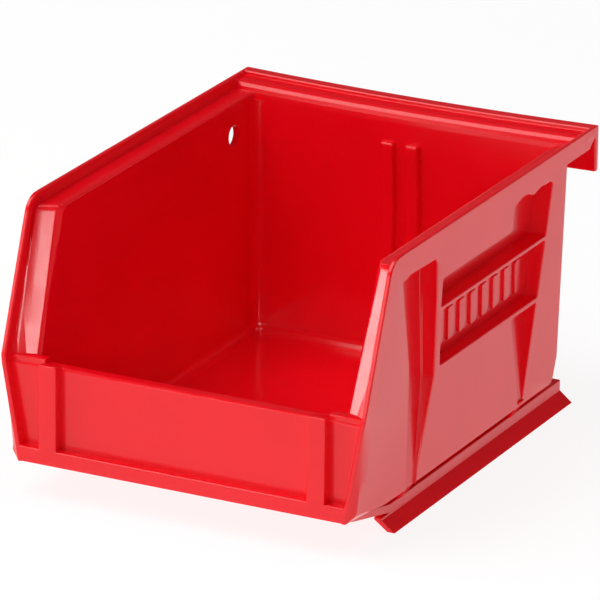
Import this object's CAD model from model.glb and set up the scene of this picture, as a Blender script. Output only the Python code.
"""Looks of the hanging parts bin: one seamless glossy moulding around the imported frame.

Shapes are made in millimetres, with y back from the front face and z up from the feet, and for both
sides by mirroring x. The finished moulding is scaled to metres and moved to the frame's axes.
"""

import math
from collections import Counter

import bmesh
import bpy
from mathutils import Matrix, Vector


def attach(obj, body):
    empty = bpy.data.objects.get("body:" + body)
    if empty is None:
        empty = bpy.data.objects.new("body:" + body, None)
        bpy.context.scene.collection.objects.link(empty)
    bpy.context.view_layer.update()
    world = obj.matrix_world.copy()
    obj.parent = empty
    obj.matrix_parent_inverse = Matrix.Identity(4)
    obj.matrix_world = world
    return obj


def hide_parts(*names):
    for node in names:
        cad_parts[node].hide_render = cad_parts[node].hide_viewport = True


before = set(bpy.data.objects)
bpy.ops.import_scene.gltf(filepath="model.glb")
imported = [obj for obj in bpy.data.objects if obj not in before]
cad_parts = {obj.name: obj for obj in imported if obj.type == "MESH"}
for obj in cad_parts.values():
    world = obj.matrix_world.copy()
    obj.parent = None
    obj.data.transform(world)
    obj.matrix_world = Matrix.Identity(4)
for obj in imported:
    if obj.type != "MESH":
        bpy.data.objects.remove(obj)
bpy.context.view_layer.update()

MM = 0.001
DEPTH = 138.0
HEIGHT = 76.2
HALF = 52.4
SIDES = (-1, 1)

# Thicknesses, and the radius of the small edges.
WALL = 1.8
SKIN = 1.5
LIP = 1.3
EDGE = 0.32

# Tub: half width at its floor and how much wider it is at the top, and where its faces are.
TUB_HALF = 43.2
TUB_WIDENS = 1.8
TUB_RISE = 67.0
FLOOR_TOP = 5.5
FLOOR_LOW = 3.7
TUB_TOP = 71.2
HOLE_BACK = 115.5
HOLE_UP = 64.0
HOLE_RADIUS = 3.0

# Outer side: how far it leans in towards its foot, per millimetre, and the lean of the slanted front.
LEAN = 0.045
SLANT = 0.37
SLANT_START = 36.6
SLANT_FOOT = 37.3
SHOULDER = 6.0
RIM_FRONT = 20.0
PANEL_LOW = 9.0
GROOVE_BACK = [(35.0, PANEL_LOW), (43.1, 35.9), (42.1, 57.1)]

# Front: half widths at the top and the foot of the slant and at the bottom corners, and the bottom edge.
EDGE_HALF = 52.2
CREASE_LOW_HALF = 49.1
CORNER_HALF = 47.2
FRONT_LOW = 9.4
WALL_INSET = 0.75
RIB_INNER = 36.0
RIB_OUTER = 41.1

# Web behind the recesses: half width, and where and how far it slopes out below its knee.
WEB = 46.8
WEB_KNEE = 38.0
WEB_FOOT = 49.3
GROOVE_FOOT = 9.2
GROOVE_TIP = 5.4

# Sag of the back edge at mid width: its size, where it starts, and over how much it grows.
SAG = 2.2
SAG_FRONT = 122.0
SAG_LOW = 40.0
SAG_DEPTH = 4.0
SAG_RISE = 36.0

# Limits for meshes, in millimetres and degrees.
SAME_SPOT = 0.004
FLAT_ANGLE = 0.5
SHARP_ANGLE = 32


def metres(x, y, z):
    """A point of the bin on the frame's axes."""
    return Vector((x * MM, (y - DEPTH / 2) * MM, z * MM))


# ---------------------------------------------------------------- mesh helpers


def finish_mesh(body, name):
    """The body as an object in the scene, with its faces turned outwards."""
    bmesh.ops.recalc_face_normals(body, faces=body.faces)
    mesh = bpy.data.meshes.new(name)
    body.to_mesh(mesh)
    body.free()
    piece = bpy.data.objects.new(name, mesh)
    bpy.context.scene.collection.objects.link(piece)
    return piece


def in_order(body):
    """The same body with its points and faces in an order that doesn't vary from run to run."""
    spots = sorted(body.verts, key=lambda vert: tuple(vert.co))
    place = {vert: index for index, vert in enumerate(spots)}
    rings = []
    for face in body.faces:
        ring = [place[vert] for vert in face.verts]
        start = ring.index(min(ring))
        rings.append(ring[start:] + ring[:start])
    times = Counter(frozenset(ring) for ring in rings)
    ordered = bmesh.new()
    points = [ordered.verts.new(vert.co) for vert in spots]
    for ring in sorted(rings):
        # Two faces on the same points are back to back, with nothing between them.
        if times[frozenset(ring)] == 1:
            ordered.faces.new([points[index] for index in ring])
    body.free()
    ordered.normal_update()
    return ordered


def loft(rings):
    """A closed body through rings of points that all have the same length."""
    body = bmesh.new()
    rows = [[body.verts.new(point) for point in ring] for ring in rings]
    count = len(rows[0])
    body.faces.new(rows[0])
    body.faces.new(list(reversed(rows[-1])))
    for near, far in zip(rows, rows[1:]):
        for index in range(count):
            after = (index + 1) % count
            body.faces.new((near[index], far[index], far[after], near[after]))
    bmesh.ops.recalc_face_normals(body, faces=body.faces)
    body.normal_update()
    return body, rows


def soften(body, edges, width, steps=3):
    """Rounds these edges."""
    bmesh.ops.bevel(
        body, geom=edges, offset=width, segments=steps, profile=0.5, affect="EDGES", clamp_overlap=False
    )


def loops_of(rows):
    """Edges round each of these rings."""
    edges = []
    for row in rows:
        for index, vert in enumerate(row):
            other = row[(index + 1) % len(row)]
            edges += [edge for edge in vert.link_edges if other in edge.verts]
    return edges


def crossings_of(rows, picks=None):
    """Edges that run from each ring to the next, at the picked corners."""
    edges = []
    for near, far in zip(rows, rows[1:]):
        for index, vert in enumerate(near):
            if picks is None or index in picks:
                edges += [edge for edge in vert.link_edges if far[index] in edge.verts]
    return edges


def along(rows, pairs):
    """Edges between these neighbouring corners of each ring."""
    return [edge for row in rows for a, b in pairs for edge in row[a].link_edges if row[b] in edge.verts]


def slab(side, outline, inner, outer, width=0.0, steps=3):
    """An outline in y and z between two faces, whose x are functions of y and z."""
    near = [(side * inner(y, z), y, z) for y, z in outline]
    far = [(side * outer(y, z), y, z) for y, z in outline]
    body, rows = loft([near, far])
    if width:
        soften(body, loops_of(rows[1:]), width, steps)
    return body


def mirrored(outline, half):
    """An outline in y and z lofted from side to side; half gives the half width at a height."""
    return loft([[(side * half(z), y, z) for y, z in outline] for side in SIDES])


def flat(x):
    """A face of a slab at one x."""
    return lambda y, z: x


def rounded(points, radius, steps=3):
    """An outline with its corners turned into arcs; radius is a number, or one for each corner."""
    result = []
    for index, here in enumerate(points):
        size = radius[index] if isinstance(radius, (list, tuple)) else radius
        before = Vector(points[index - 1]) - Vector(here)
        after = Vector(points[(index + 1) % len(points)]) - Vector(here)
        if size <= 0:
            result.append(tuple(here))
            continue
        angle = before.angle(after)
        reach = min(size / math.tan(angle / 2), 0.45 * before.length, 0.45 * after.length)
        start = Vector(here) + before.normalized() * reach
        end = Vector(here) + after.normalized() * reach
        for step in range(steps + 1):
            t = step / steps
            point = start * (1 - t) ** 2 + Vector(here) * 2 * t * (1 - t) + end * t**2
            result.append((point.x, point.y))
    return result


def boolean(piece, others, operation):
    """The piece joined with or cut by the others in turn; the others are used up."""
    for other in others:
        step = piece.modifiers.new(operation, "BOOLEAN")
        step.operation = operation
        step.solver = "MANIFOLD"
        step.object = other
    graph = bpy.context.evaluated_depsgraph_get()
    mesh = bpy.data.meshes.new_from_object(piece.evaluated_get(graph))
    piece.modifiers.clear()
    old = piece.data
    piece.data = mesh
    bpy.data.meshes.remove(old)
    for other in others:
        mesh = other.data
        bpy.data.objects.remove(other)
        bpy.data.meshes.remove(mesh)
    return piece


def tool(body):
    """A closed body as an object of triangles, for a Boolean."""
    body = in_order(body)
    bmesh.ops.triangulate(body, faces=body.faces, quad_method="SHORT_EDGE", ngon_method="EAR_CLIP")
    return finish_mesh(in_order(body), "tool")


def merge_flat(piece):
    """Merges doubled points, and faces that lie in one plane."""
    body = bmesh.new()
    body.from_mesh(piece.data)
    bmesh.ops.remove_doubles(body, verts=body.verts, dist=SAME_SPOT)
    bmesh.ops.dissolve_limit(
        body,
        angle_limit=math.radians(FLAT_ANGLE),
        verts=body.verts,
        edges=body.edges,
        use_dissolve_boundaries=False,
    )
    body = in_order(body)
    body.to_mesh(piece.data)
    body.free()


# ---------------------------------------------------------------- shape of the bin


def plane(z):
    """Half width of the outer side panels at a height."""
    return HALF - LEAN * (HEIGHT - z)


def tub_inner(z):
    """Half width inside the tub at a height."""
    return TUB_HALF + TUB_WIDENS * (z - FLOOR_TOP) / TUB_RISE


def tub_outer(z):
    return tub_inner(z) + WALL


def slant_y(z):
    """How far back the slanted front edge is at a height."""
    return SLANT * (z - SLANT_START)


def blend(a, b, t):
    """From a at t = 0 to b at t = 1."""
    return a + (b - a) * t


def crease_x(z):
    """Half width at the crease behind the front edge."""
    if z >= SLANT_FOOT:
        return blend(EDGE_HALF, HALF, min(1.0, (z - SLANT_FOOT) / 32.0))
    return blend(CREASE_LOW_HALF, EDGE_HALF, (z - FRONT_LOW) / (SLANT_FOOT - FRONT_LOW))


def front_x(z):
    """Half width of the front edge itself, which tapers in below the slant."""
    if z >= SLANT_FOOT:
        return crease_x(z)
    return blend(CORNER_HALF, EDGE_HALF, (z - FRONT_LOW) / (SLANT_FOOT - FRONT_LOW))


def edge_path():
    """Stations down the front edge: point, inward direction, and the facing point on the groove."""
    lean = math.atan(SLANT)
    inward = Vector((math.cos(lean), -math.sin(lean)))
    centre = Vector((slant_y(HEIGHT - SHOULDER) + SHOULDER / math.cos(lean), HEIGHT - SHOULDER))
    stations = [(Vector((RIM_FRONT + 0.8, HEIGHT)), Vector((0, -1)), (RIM_FRONT + 0.8, 68.6))]
    turns = 9
    for step in range(turns + 1):
        t = step / turns
        angle = math.radians(90) + t * (math.radians(90) - lean)
        out = Vector((math.cos(angle), math.sin(angle)))
        target = (blend(20.6, 22.0, t), blend(68.5, 63.8, t))
        stations.append((centre + out * SHOULDER, -out, target))
    start = stations[-1][0].y
    for z in (67.0, 62.0, 57.0, 52.0, 47.0, 42.5, 39.6):
        t = (start - z) / (start - 39.6)
        target_z = blend(63.4, 38.0, t)
        stations.append((Vector((slant_y(z), z)), inward, (groove_left(target_z), target_z)))
    stations.append((Vector((0.35, 37.6)), Vector((0.985, -0.17)), (groove_left(36.0), 36.0)))
    for z in (35.6, 31.0, 26.0, 21.0, 16.5, 13.0):
        target_z = blend(12.2, 34.0, (z - 13.0) / 22.6)
        stations.append((Vector((0.0, z)), Vector((1, 0)), (groove_left(target_z), target_z)))
    return stations


def groove_left(z):
    """Front edge of the front groove at a height."""
    if z > 63.4:
        return 22.1
    if z > 43.2:
        return blend(27.7, 22.2, (z - 43.2) / 20.2)
    return blend(30.1, 27.7, (z - 8.9) / 34.3)


# Shares of the way from the front edge to the groove, and the points of the panel's bottom edge.
COLUMNS = (0.0, 0.055, 0.2, 0.42, 0.62, 0.82, 1.0)
BOTTOM_ROW = (
    (0.45, 9.4), (1.5, 11.6), (6.0, 11.0), (12.0, 9.9), (17.0, 9.15), (24.0, 9.0), (30.1, 8.95)
)


def front_panel(side):
    """Lip, shoulder and front side panel as one skin, flared a little at the front edge."""
    rings = [front_ring(side, point, inward, target) for point, inward, target in edge_path()]
    rings.append(front_ring(side, Vector((0.0, FRONT_LOW)), Vector((1, 0)), BOTTOM_ROW[-1], BOTTOM_ROW))
    body, _ = loft(rings)
    return body


def front_ring(side, point, inward, target, row=None):
    """Ring round the section of the skin at one station; row gives the outer points of the last one."""
    first = point + inward * EDGE
    outer = []
    for index, t in enumerate(COLUMNS):
        if row:
            y, z = row[index]
        else:
            y, z = blend(first.x, target[0], t), blend(first.y, target[1], t)
        x = plane(z) + (crease_x(z) - plane(z)) * (1 - t) if t else front_x(z)
        outer.append((x, y, z))
    edge_x = outer[0][0]
    corner = 0.13
    ring = []
    for depth, inset in (
        (5.2, LIP),
        (EDGE, LIP),
        (corner, LIP - corner),
        (0.0, LIP - EDGE),
        (0.0, EDGE),
        (corner, corner),
    ):
        spot = point + inward * depth
        ring.append((side * (edge_x - inset), spot.x, spot.y))
    ring += [(side * x, y, z) for x, y, z in outer]
    ring += [(side * (x - SKIN), y, z) for x, y, z in reversed(outer[2:])]
    return ring


def ledge_path(rim_depth, slant_depth, radius, foot, steps=4):
    """Points along the rim, round the corner and down the slant, at a depth below the edge."""
    lean = math.atan(SLANT)
    height = HEIGHT - rim_depth

    def line_y(z):
        return slant_y(z) + slant_depth / math.cos(lean)

    corner = Vector((line_y(height), height))
    reach = radius * math.tan((math.radians(90) - lean) / 2)
    start = corner + Vector((1, 0)) * reach
    end = corner + Vector((-math.sin(lean), -math.cos(lean))) * reach
    points = [(131.5, height), (60.0, height)]
    for step in range(steps + 1):
        t = step / steps
        spot = start * (1 - t) ** 2 + corner * 2 * t * (1 - t) + end * t**2
        points.append((spot.x, spot.y))
    for z in (60.0, 48.0, foot):
        points.append((line_y(z), z))
    return points


def ledge_and_strip(side):
    """Stacking ledge below the rim, which turns down as the strip behind the slanted lip."""

    def strip(top):
        return lambda z: top - 0.053 * (70.0 - z)

    def inside(extra):
        return lambda z: tub_inner(z) + extra

    profile = [
        (51.7, 3.2, lambda z: crease_x(z) - 0.6, 3.4),
        (51.0, 3.2, strip(51.0), 3.75),
        (48.4, 3.2, strip(49.1), 4.9),
        (45.75, 3.2, strip(46.6), 5.92),
        (45.4, 3.26, strip(46.15), 6.3),
        (45.15, 3.42, strip(45.7), 6.85),
        (45.03, 3.7, inside(0.1), 7.4),
        (None, 4.1, inside(0.0), 8.1),
        (None, 7.2, inside(0.0), 11.0),
        (46.3, 7.2, inside(1.4), 11.0),
        (47.0, 4.9, strip(47.6), 7.4),
        (51.7, 4.9, lambda z: crease_x(z) - 0.6, 5.2),
    ]
    paths = []
    for x, rim_depth, strip_x, slant_depth in profile:
        path = ledge_path(rim_depth, slant_depth, 2.6, 36.6 if slant_depth < 6 else 34.4)
        points = []
        for index, (y, z) in enumerate(path):
            rim_x = tub_inner(z) if x is None else x
            if index <= 2:
                here = rim_x
            elif index >= 6:
                here = strip_x(z)
            else:
                here = blend(rim_x, strip_x(z), (index - 2) / 4)
            points.append((side * here, y, z))
        paths.append(points)
    rings = [[path[index] for path in paths] for index in range(len(paths[0]))]
    body, _ = loft(rings)
    return body


def side_panel(side):
    """Side panel with the rim above it: grooves, finger grip and recess cut through to the web."""
    outline = [(RIM_FRONT, HEIGHT), (136.6, HEIGHT), (136.6, 74.0), (136.0, 73.2), (133.0, 70.6)]
    outline += [(119.0, 70.6), (119.0, 66.9), (120.7, 16.3), (119.0, 10.3), (117.6, PANEL_LOW)]
    outline += GROOVE_BACK + [(41.0, 67.6), (40.0, 68.7)]
    outline += [(25.5, 69.1), (22.6, 68.3), (21.2, 68.4), (RIM_FRONT, 68.6)]
    sizes = [0, 0, 0, 0.6, 0.5, 0, 0, 1.0, 1.2, 1.0, 0.8, 1.2, 0, 0.6, 0.6, 0.8, 0, 0, 0]
    piece = tool(slab(side, rounded(outline, sizes), flat(46.0), lambda y, z: plane(z)))
    grip = [(45.0, 54.2), (45.4, 61.8), (86.6, 61.8), (86.9, 68.4), (88.6, 68.9), (91.0, 69.6)]
    grip += [(93.2, 69.8), (95.4, 69.5), (97.2, 68.7), (98.7, 68.3), (100.6, 68.8), (103.2, 69.2)]
    grip += [(106.0, 69.0), (108.6, 69.0), (110.3, 68.2), (108.0, 54.2)]
    grip_sizes = [0.7, 0.5, 1.3, 0.6, 0, 0, 0, 0, 0, 0, 0, 0, 0, 0.6, 0.8, 0.7]
    badge_room = [(45.6, 53.0), (107.8, 53.0), (105.2, 37.8), (46.3, 37.8)]
    rear = [(89.4, 36.4), (104.7, 36.4), (99.6, 9.8), (97.8, 9.8)]
    holes = [
        slab(side, rounded(grip, grip_sizes), flat(40.0), flat(60.0)),
        slab(side, rounded(badge_room, 0.7), flat(40.0), flat(60.0)),
        slab(side, rounded(rear, [0.6, 0.6, 0.5, 0.5]), flat(40.0), flat(60.0)),
    ]
    boolean(piece, [tool(body) for body in holes], "DIFFERENCE")
    merge_flat(piece)
    round_edges(piece, on_panel_face)

    def under_skin(y, z):
        return plane(z) - SKIN

    def under_lip(y, z):
        return plane(z) - LIP

    middle = [(36.7, -1), (36.7, 9.0), (44.5, 35.0), (46.5, 36.2), (87.6, 36.2), (95.4, 10), (95.4, -1)]
    back = [(111.9, 72.0), (125.0, 72.0), (125.0, -1), (101.4, -1)]
    back += [(101.4, 9.0), (106.8, 37.7), (109.8, 54.2)]
    hollows = [
        # Room above the ledge, for the bin that stacks on top.
        slab(side, [(0, 73.0), (140, 73.0), (140, 90), (0, 90)], flat(40.0), under_lip),
        # Hollows behind the back end of the rim.
        slab(side, [(111.9, 71.4), (132.6, 71.4), (132.6, 69.0), (111.9, 69.0)], flat(40.0), under_skin),
        slab(side, [(118.9, 70.9), (118.9, 73.5), (132.6, 73.5), (132.6, 70.9)], flat(40.0), under_lip),
        # Hollows behind the lower panels.
        slab(side, middle, flat(40.0), under_skin),
        slab(side, back, flat(40.0), under_skin),
    ]
    boolean(piece, [tool(body) for body in hollows], "DIFFERENCE")
    merge_flat(piece)
    round_edges(piece, on_rim_top)
    return piece


def on_panel_face(edge):
    """True on the outline of the outer face, but not where the front panel carries it on."""
    ends = [vert.co for vert in edge.verts]
    if any(abs(abs(end.x) - plane(end.z)) > 0.01 for end in ends):
        return False
    return max(end.y for end in ends) > 21.0 or min(end.z for end in ends) > HEIGHT - 0.1


def on_rim_top(edge):
    """True on the inner edge of the top of the rim."""
    ends = [vert.co for vert in edge.verts]
    inside = all(end.z > HEIGHT - 0.01 and abs(end.x) < HALF - LIP + 0.05 for end in ends)
    return inside and edge.calc_length() > 50


def round_edges(piece, picked):
    """Rounds the sharp edges that a test picks."""
    body = bmesh.new()
    body.from_mesh(piece.data)
    body.normal_update()
    sharp = [edge for edge in body.edges if edge.is_manifold and edge.calc_face_angle() > 0.3]
    soften(body, [edge for edge in sharp if picked(edge)], EDGE)
    body = in_order(body)
    bmesh.ops.triangulate(body, faces=body.faces, quad_method="SHORT_EDGE", ngon_method="EAR_CLIP")
    body = in_order(body)
    body.to_mesh(piece.data)
    body.free()


def web(side):
    """Outside of the tub wall behind the recesses, and the sloping bases of the two grooves."""
    slope = (WEB_FOOT - WEB) / (WEB_KNEE - PANEL_LOW)

    def foot(y, z):
        return WEB + slope * (WEB_KNEE - z)

    def tip(y, z):
        return blend(46.9, WEB_FOOT - 0.1, (z - 5.6) / 3.6)

    def groove(outline):
        return slab(side, outline, flat(45.0), foot)

    def groove_tip(outline):
        return slab(side, outline, flat(45.0), tip, 0.3, 2)

    upper = [(20.6, 71.6), (111.4, 71.6), (106.4, 37.0), (27.0, 37.0), (20.6, 62.0)]
    pieces = [
        slab(side, upper, flat(45.4), flat(WEB)),
        groove([(27.4, WEB_KNEE), (45.0, WEB_KNEE), (36.4, GROOVE_FOOT), (29.2, GROOVE_FOOT)]),
        groove([(88.0, WEB_KNEE), (106.0, WEB_KNEE), (100.6, GROOVE_FOOT), (96.6, GROOVE_FOOT)]),
        groove_tip([(29.8, GROOVE_FOOT), (35.3, GROOVE_FOOT), (34.4, GROOVE_TIP), (30.8, GROOVE_TIP)]),
        groove_tip([(97.2, 10.6), (100.1, 10.6), (99.8, GROOVE_TIP), (97.6, GROOVE_TIP)]),
    ]
    # Fillet in the corner between the web and the back edge of the front groove.
    corner = ((41.4, 68.2), (42.2, 57.1), (43.2, 35.9), (35.1, GROOVE_FOOT))
    low_edge = [(y - 0.55, z) for y, z in corner]
    high_edge = [(y + 0.1, z) for y, z in reversed(corner)]
    low_spots = [y for y, z in low_edge]

    def fillet(y, z):
        base = max(WEB, foot(y, z))
        return base if y in low_spots else base + 0.6

    pieces.append(slab(side, low_edge + high_edge, flat(45.5), fillet))
    return pieces


def front_groove_wall(side):
    """Wall from the back edge of the front panel in to the tub."""
    outline = [(20.7, 68.9), (22.1, 67.8), (22.1, 63.4), (27.6, 43.2), (30.0, PANEL_LOW)]
    outline += [(28.4, PANEL_LOW), (26.0, 43.2), (20.6, 63.2), (20.6, 66.0)]
    return slab(side, outline, flat(45.6), lambda y, z: plane(z) - 0.5)


def base_rail(side):
    """Rail along the foot of the side, rising at the front."""
    outline = [(0.5, 9.35), (8.4, 7.5), (18.8, 5.15), (25.0, 3.7), (27.5, 2.85), (129.8, 2.85)]
    outline += [(129.8, 5.8), (26.5, 5.8), (18.8, 7.4), (8.4, 9.7), (0.5, 11.6)]
    return slab(side, outline, flat(43.6), flat(46.75), 0.3, 2)


def runner(side):
    """Flared runner that the bin stands on."""
    outline = [(44.5, 3.4), (46.7, 3.4), (46.75, 2.9), (50.35, 0.0), (48.35, 0.0), (44.5, 2.85)]
    near = [(side * x, 21.8, z) for x, z in outline]
    far = [(side * x, 129.8, z) for x, z in outline]
    body, rows = loft([near, far])
    soften(body, loops_of(rows), 0.25, 2)
    return body


def tub():
    """Tub with its rounded inside corners, cut from a block."""
    foot = 10.1
    outline = [(5.5, 8.35), (25.2, FLOOR_LOW), (127.6, FLOOR_LOW), (129.85, TUB_TOP)]
    outline += [(slant_y(TUB_TOP) + foot, TUB_TOP), (slant_y(38.0) + foot, 38.0)]
    outline += [(slant_y(38.0) + foot, 35.0), (5.0, 35.0)]
    body, rows = mirrored(outline, tub_outer)
    soften(body, along(rows, ((2, 3),)), 4.8, 6)
    block = tool(body)
    hollow = [(7.1, 9.4), (25.2, FLOOR_TOP), (125.8, FLOOR_TOP), (128.4, 81.0), (4.4, 81.0)]
    body, rows = mirrored(hollow, tub_inner)
    edges = along(rows, ((0, 1), (1, 2), (2, 3), (0, 4))) + crossings_of(rows, (0, 2))
    soften(body, edges, 3.2, 5)
    boolean(block, [tool(body)], "DIFFERENCE")
    holes = [tool(slab(side, hole_outline(), flat(41.0), flat(48.5))) for side in SIDES]
    boolean(block, holes, "DIFFERENCE")
    return block


def hole_outline(steps=32):
    """Round hole near the back of the side."""
    points = []
    for step in range(steps):
        angle = 2 * math.pi * step / steps
        points.append((HOLE_BACK + HOLE_RADIUS * math.cos(angle), HOLE_UP + HOLE_RADIUS * math.sin(angle)))
    return points


def front_pieces():
    """Front wall, label ribs and the bar below them."""

    def wall_half(z):
        return front_x(z) - WALL_INSET

    wall = [(3.0, 9.0), (7.0, 8.7), (6.2, 35.0), (6.1, 35.5), (5.8, 35.75)]
    wall += [(3.5, 35.75), (3.0, 35.55), (2.7, 35.0)]
    bar = [(0.0, 9.45), (5.9, 8.1), (5.9, 13.7), (0.0, 13.6)]
    block = [(3.2, 12.0), (6.9, 12.0), (6.9, 36.5), (6.2, 37.0), (3.8, 37.15), (3.4, 37.0), (3.2, 36.6)]
    rib = [(0.0, 11.0), (5.6, 11.0), (5.2, 35.7), (1.6, 36.7), (0.0, 36.7)]
    wall_body, _ = mirrored(wall, wall_half)
    bar_body, rows = mirrored(bar, lambda z: front_x(z) - 0.6)
    soften(bar_body, crossings_of(rows, (0, 3)), 0.4)
    pieces = [wall_body, bar_body]
    for side in SIDES:
        pieces.append(slab(side, block, flat(40.8), lambda y, z: wall_half(z)))
        body, rows = loft([[(side * x, y, z) for y, z in rib] for x in (RIB_INNER, RIB_OUTER)])
        soften(body, crossings_of(rows, (4,)) + along(rows, ((2, 3), (3, 4), (4, 0))), 0.4)
        pieces.append(body)
    return pieces


def hanger():
    """Shelf behind the back wall and the downturned lip."""
    outline = [(128.02, 69.0), (128.1, 71.6), (128.25, 72.8), (128.7, 73.8), (129.4, 74.6), (130.3, 75.05)]
    outline += [(131.2, 75.15), (134.0, 75.15), (134.15, 75.25), (134.2, 75.5), (134.25, 75.95), (134.5, 76.2)]
    outline += [(137.6, 76.2), (137.95, 76.05), (138.0, 75.7), (138.0, 64.1), (137.7, 63.6), (137.2, 63.45)]
    outline += [(136.8, 63.45), (136.3, 63.6), (136.1, 64.1), (136.05, 72.4), (135.7, 73.2), (135.0, 73.45)]
    outline += [(130.9, 73.45), (130.1, 73.2), (129.8, 72.4), (129.7, 69.0)]
    shelf_and_lip, _ = mirrored(outline, lambda z: 45.6 if z < 71.0 else 51.3)
    # The same section without its foot runs on to the full width, with rounded ends.
    rail = [(129.4, 74.6)] + outline[5:24] + [(130.0, 73.45)]
    full_width, rows = mirrored(rail, lambda z: HALF)
    soften(full_width, loops_of(rows), 0.35, 2)
    return [shelf_and_lip, full_width]


def divider_ribs():
    """Two upright ribs on the back wall."""
    outline = [(1.7, 4.8), (5.6, 4.8), (5.6, 66.2), (1.7, 66.2)]

    def back(z):
        return 125.8 + 2.25 * (z - FLOOR_TOP) / 66.0

    pieces = []
    for side in SIDES:
        near = [(side * x, back(z) - 1.85, z) for x, z in outline]
        far = [(side * x, back(z) + 0.6, z) for x, z in outline]
        body, rows = loft([near, far])
        soften(body, loops_of(rows[:1]) + crossings_of(rows, (2, 3)), 0.7)
        pieces.append(body)
    return pieces


def badge(side):
    """Plain row of raised upright bars."""
    count, half, low, high = 8, 1.7, 40.4, 49.4
    pieces = []
    for index in range(count):
        middle = blend(52.5, 99.5, index / (count - 1))
        outline = [(middle - half, low), (middle + half, low), (middle + half, high), (middle - half, high)]
        pieces.append(slab(side, rounded(outline, 0.6), flat(46.2), flat(WEB + 0.7), 0.25, 2))
    return pieces


def clean(piece):
    """Merges the doubled points that the union leaves, and makes every face a triangle."""
    body = bmesh.new()
    body.from_mesh(piece.data)
    bmesh.ops.remove_doubles(body, verts=body.verts, dist=SAME_SPOT / 2)
    bmesh.ops.dissolve_degenerate(body, dist=SAME_SPOT / 4, edges=body.edges)
    body = in_order(body)
    bmesh.ops.triangulate(body, faces=[face for face in body.faces if len(face.verts) > 3])
    return in_order(body)


def sag(body):
    """The back edge of the real moulding sags inwards a little at mid width."""
    for x in range(-48, 49, 6):
        cut_faces(body, Vector((x, 0, 0)), Vector((1, 0, 0)))
    for z in range(44, 75, 6):
        cut_faces(body, Vector((0, 0, z)), Vector((0, 0, 1)))
    body = in_order(body)
    bmesh.ops.triangulate(body, faces=body.faces, quad_method="SHORT_EDGE", ngon_method="EAR_CLIP")
    body = in_order(body)
    for vert in body.verts:
        x, y, z = vert.co
        if y < SAG_FRONT or z < SAG_LOW:
            continue
        rise = min(1.0, (z - SAG_LOW) / SAG_RISE)
        near = min(1.0, (y - SAG_FRONT) / SAG_DEPTH)
        weight = rise * rise * (3 - 2 * rise) * near
        vert.co.y -= SAG * weight * max(0.0, 1 - (x / HALF) ** 2)
    return body


def cut_faces(body, point, normal):
    """Splits the faces at the back of the bin along a plane."""
    faces = [face for face in body.faces if all(vert.co.y > SAG_FRONT - 0.1 for vert in face.verts)]
    edges = dict.fromkeys(edge for face in faces for edge in face.edges)
    verts = dict.fromkeys(vert for face in faces for vert in face.verts)
    geometry = [*verts, *edges, *faces]
    bmesh.ops.bisect_plane(body, geom=geometry, dist=0.0001, plane_co=point, plane_no=normal)


# ---------------------------------------------------------------- material


def moulded_plastic():
    """Glossy red plastic, a little uneven in colour, gloss and surface."""
    paint = bpy.data.materials.new("red_polypropylene")
    paint.use_nodes = True
    nodes = paint.node_tree.nodes
    links = paint.node_tree.links
    shader = nodes["Principled BSDF"]
    shader.inputs["IOR"].default_value = 1.5
    shader.inputs["Subsurface Weight"].default_value = 0.2
    shader.inputs["Subsurface Radius"].default_value = (1.0, 0.12, 0.1)
    shader.inputs["Subsurface Scale"].default_value = 0.003
    where = nodes.new("ShaderNodeTexCoord")

    def noise(scale, detail, roughness=0.5):
        made = nodes.new("ShaderNodeTexNoise")
        made.inputs["Scale"].default_value = scale
        made.inputs["Detail"].default_value = detail
        made.inputs["Roughness"].default_value = roughness
        links.new(where.outputs["Object"], made.inputs["Vector"])
        return made

    def ramp(source, stops):
        made = nodes.new("ShaderNodeValToRGB")
        for stop, (position, colour) in zip(made.color_ramp.elements, stops):
            stop.position = position
            stop.color = (*colour, 1.0)
        links.new(source, made.inputs["Fac"])
        return made

    cloud = noise(38.0, 4.0)
    colour = ramp(cloud.outputs["Fac"], ((0.3, (0.84, 0.0012, 0.0085)), (0.72, (0.90, 0.0016, 0.011))))
    links.new(colour.outputs["Color"], shader.inputs["Base Color"])

    haze = noise(120.0, 6.0, 0.62)
    gloss = ramp(haze.outputs["Fac"], ((0.32, (0.17, 0.17, 0.17)), (0.75, (0.27, 0.27, 0.27))))
    links.new(gloss.outputs["Color"], shader.inputs["Roughness"])

    waves = noise(95.0, 2.0)
    grain = noise(1400.0, 3.0)
    first = nodes.new("ShaderNodeBump")
    first.inputs["Strength"].default_value = 0.035
    first.inputs["Distance"].default_value = 0.001
    links.new(waves.outputs["Fac"], first.inputs["Height"])
    second = nodes.new("ShaderNodeBump")
    second.inputs["Strength"].default_value = 0.03
    second.inputs["Distance"].default_value = 0.0002
    links.new(grain.outputs["Fac"], second.inputs["Height"])
    links.new(first.outputs["Normal"], second.inputs["Normal"])
    links.new(second.outputs["Normal"], shader.inputs["Normal"])
    return paint


# ---------------------------------------------------------------- build


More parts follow.
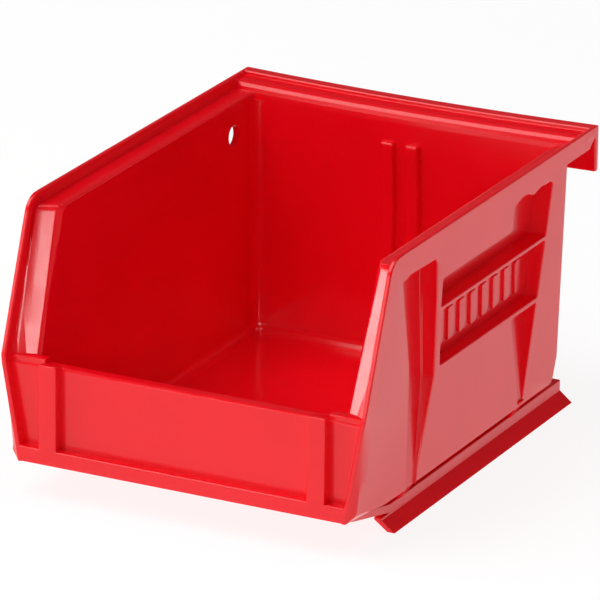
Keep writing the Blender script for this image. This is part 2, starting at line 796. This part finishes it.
def build_moulding():
    """The bin as one closed mesh, on the frame's axes."""
    piece = tub()
    parts = [tool(body) for body in front_pieces() + hanger() + divider_ribs()]
    for side in SIDES:
        parts.append(tool(front_panel(side)))
        parts.append(tool(ledge_and_strip(side)))
        parts.append(side_panel(side))
        parts += [tool(body) for body in web(side)]
        parts.append(tool(front_groove_wall(side)))
        parts.append(tool(base_rail(side)))
        parts.append(tool(runner(side)))
        parts += [tool(body) for body in badge(side)]
    boolean(piece, parts, "UNION")
    body = sag(clean(piece))
    body.to_mesh(piece.data)
    body.free()
    piece.data.transform(Matrix.Translation((0, -DEPTH / 2 * MM, 0)) @ Matrix.Scale(MM, 4))
    piece.name = piece.data.name = "bin_moulding"
    piece.data.materials.clear()
    piece.data.materials.append(moulded_plastic())
    piece.data.shade_smooth()
    piece.data.set_sharp_from_angle(angle=math.radians(SHARP_ANGLE))
    weights = piece.modifiers.new("weighted_normals", "WEIGHTED_NORMAL")
    weights.keep_sharp = True
    weights.mode = "FACE_AREA_WITH_ANGLE"
    weights.weight = 80
    return piece


def softbox(name, place, target, size, power):
    """A rectangular lamp at a place, pointed at the target; metres and watts."""
    light = bpy.data.lights.new(name, "AREA")
    light.shape = "RECTANGLE"
    light.size, light.size_y = size
    light.energy = power
    lamp = bpy.data.objects.new(name, light)
    bpy.context.scene.collection.objects.link(lamp)
    lamp.location = place
    lamp.rotation_euler = (Vector(target) - Vector(place)).to_track_quat("-Z", "Y").to_euler()


def floor():
    """White floor that glows a little, so that it stays even round the bin."""
    body = bmesh.new()
    bmesh.ops.create_grid(body, x_segments=2, y_segments=2, size=6.0)
    sheet = finish_mesh(body, "floor")
    sheet.location.z = -0.0002
    paint = bpy.data.materials.new("floor_white")
    paint.use_nodes = True
    shader = paint.node_tree.nodes["Principled BSDF"]
    shader.inputs["Base Color"].default_value = (0.18, 0.18, 0.18, 1)
    shader.inputs["Roughness"].default_value = 0.9
    shader.inputs["Specular IOR Level"].default_value = 0.1
    shader.inputs["Emission Color"].default_value = (1, 1, 1, 1)
    shader.inputs["Emission Strength"].default_value = 0.86
    sheet.data.materials.append(paint)


def surroundings():
    """White room: white to the eye, and as light brighter near the horizon than overhead."""
    world = bpy.data.worlds.new("white")
    world.use_nodes = True
    nodes = world.node_tree.nodes
    links = world.node_tree.links
    seen = nodes["Background"]
    seen.inputs["Color"].default_value = (1, 1, 1, 1)
    seen.inputs["Strength"].default_value = 1.0
    lit = nodes.new("ShaderNodeBackground")
    lit.inputs["Color"].default_value = (1, 1, 1, 1)
    where = nodes.new("ShaderNodeTexCoord")
    height = nodes.new("ShaderNodeSeparateXYZ")
    links.new(where.outputs["Generated"], height.inputs["Vector"])
    fade = nodes.new("ShaderNodeMapRange")
    fade.interpolation_type = "SMOOTHSTEP"
    fade.inputs["From Min"].default_value = 0.03
    fade.inputs["From Max"].default_value = 0.28
    fade.inputs["To Min"].default_value = 0.6
    fade.inputs["To Max"].default_value = 0.08
    links.new(height.outputs["Z"], fade.inputs["Value"])
    links.new(fade.outputs["Result"], lit.inputs["Strength"])
    path = nodes.new("ShaderNodeLightPath")
    either = nodes.new("ShaderNodeMixShader")
    links.new(path.outputs["Is Camera Ray"], either.inputs["Fac"])
    links.new(lit.outputs["Background"], either.inputs[1])
    links.new(seen.outputs["Background"], either.inputs[2])
    links.new(either.outputs["Shader"], nodes["World Output"].inputs["Surface"])
    bpy.context.scene.world = world
    bpy.context.scene.view_settings.view_transform = "Standard"


def camera():
    """Long lens, looking down on the bin from the front right."""
    azimuth, elevation, roll = math.radians(26.68), math.radians(19.8212), math.radians(-0.6841)
    target = metres(33.7, 0.0, 67.3)
    away = Vector(
        (
            math.sin(azimuth) * math.cos(elevation),
            -math.cos(azimuth) * math.cos(elevation),
            math.sin(elevation),
        )
    )
    ahead = -away
    right = ahead.cross(Vector((0, 0, 1))).normalized()
    up = right.cross(ahead)
    turned_right = right * math.cos(roll) - up * math.sin(roll)
    turned_up = right * math.sin(roll) + up * math.cos(roll)
    data = bpy.data.cameras.new("camera")
    data.lens = 416.26
    data.sensor_width = 36.0
    data.clip_start = 0.05
    data.clip_end = 50.0
    view = bpy.data.objects.new("camera", data)
    bpy.context.scene.collection.objects.link(view)
    turn = Matrix((turned_right, turned_up, away)).transposed().to_4x4()
    view.matrix_world = Matrix.Translation(target + away * 1.7319) @ turn
    bpy.context.scene.camera = view


moulding = build_moulding()
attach(moulding, "root")
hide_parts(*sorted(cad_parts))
floor()
surroundings()
softbox("left", (-1.39, -0.52, 0.23), (0, 0, 0.05), (0.5, 0.42), 5.5)
softbox("front_left", (-0.63, -1.3, 0.5), (0, 0, 0.05), (0.5, 0.35), 1.6)
softbox("front", (0.66, -1.84, 0.65), (0, 0, 0.05), (0.4, 0.4), 6.0)
softbox("top", (-0.5, -0.45, 1.35), (0, 0, 0.04), (1.1, 1.1), 13.5)
softbox("right", (0.6, 0.25, 1.3), (0, 0, 0.04), (0.7, 0.7), 3.0)
camera()
